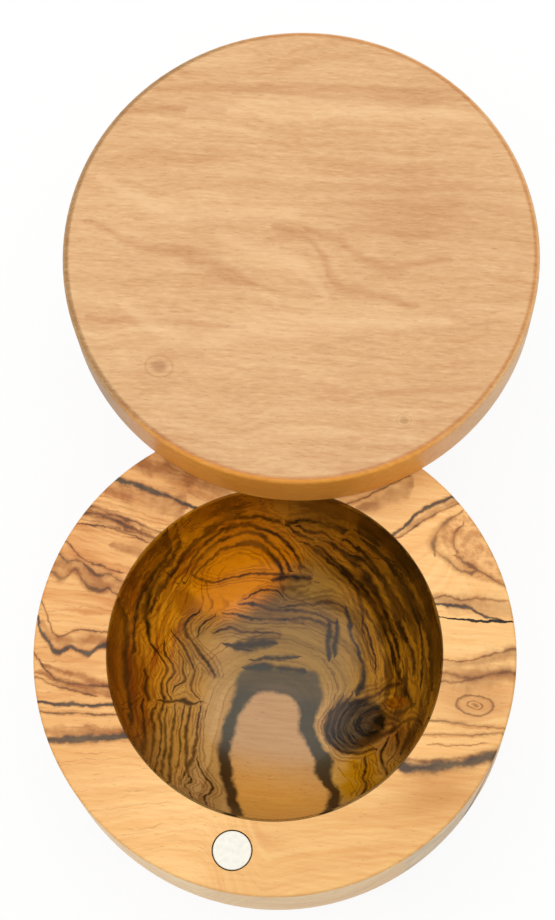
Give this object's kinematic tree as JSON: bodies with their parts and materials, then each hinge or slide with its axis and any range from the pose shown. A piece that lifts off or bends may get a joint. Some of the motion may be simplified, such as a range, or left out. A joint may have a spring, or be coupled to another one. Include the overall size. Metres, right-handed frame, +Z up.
{
  "type": "salt box",
  "caption": "Round turned olive-wood salt box with a smooth bowl and a thick flat lid that swivels aside on a hidden pin and closes on a magnetic catch.",
  "frame": {"origin": "middle of the base's flat underside, on the base's own axis", "axes": "+Z up along the base's axis, +Y from the catch towards the lid's pivot, +X to the right seen from the catch"},
  "size_m": [0.1117, 0.182, 0.0658],
  "materials": {
    "base_wood": "oiled, satin, with dark figured grain",
    "lid_wood": "oiled, satin, pale and straight-grained",
    "nickel": "nickel plated",
    "steel": "zinc plated",
    "brass": "turned",
    "nylon": "smooth"
  },
  "bodies": {
    "base": {"base": "base_wood", "base_magnet": "nickel", "head_washer": "steel", "glide_washer": "nylon"},
    "lid": {"lid": "lid_wood", "lid_magnet": "nickel", "lid_insert": "brass", "pivot_screw": "steel"}
  },
  "joints": [
    {"name": "lid_swivel", "type": "hinge", "parent": "base", "child": "lid", "pos_m": [0, 0.0415, 0.0503], "axis": [0, 0, 1], "continuous": true}
  ]
}
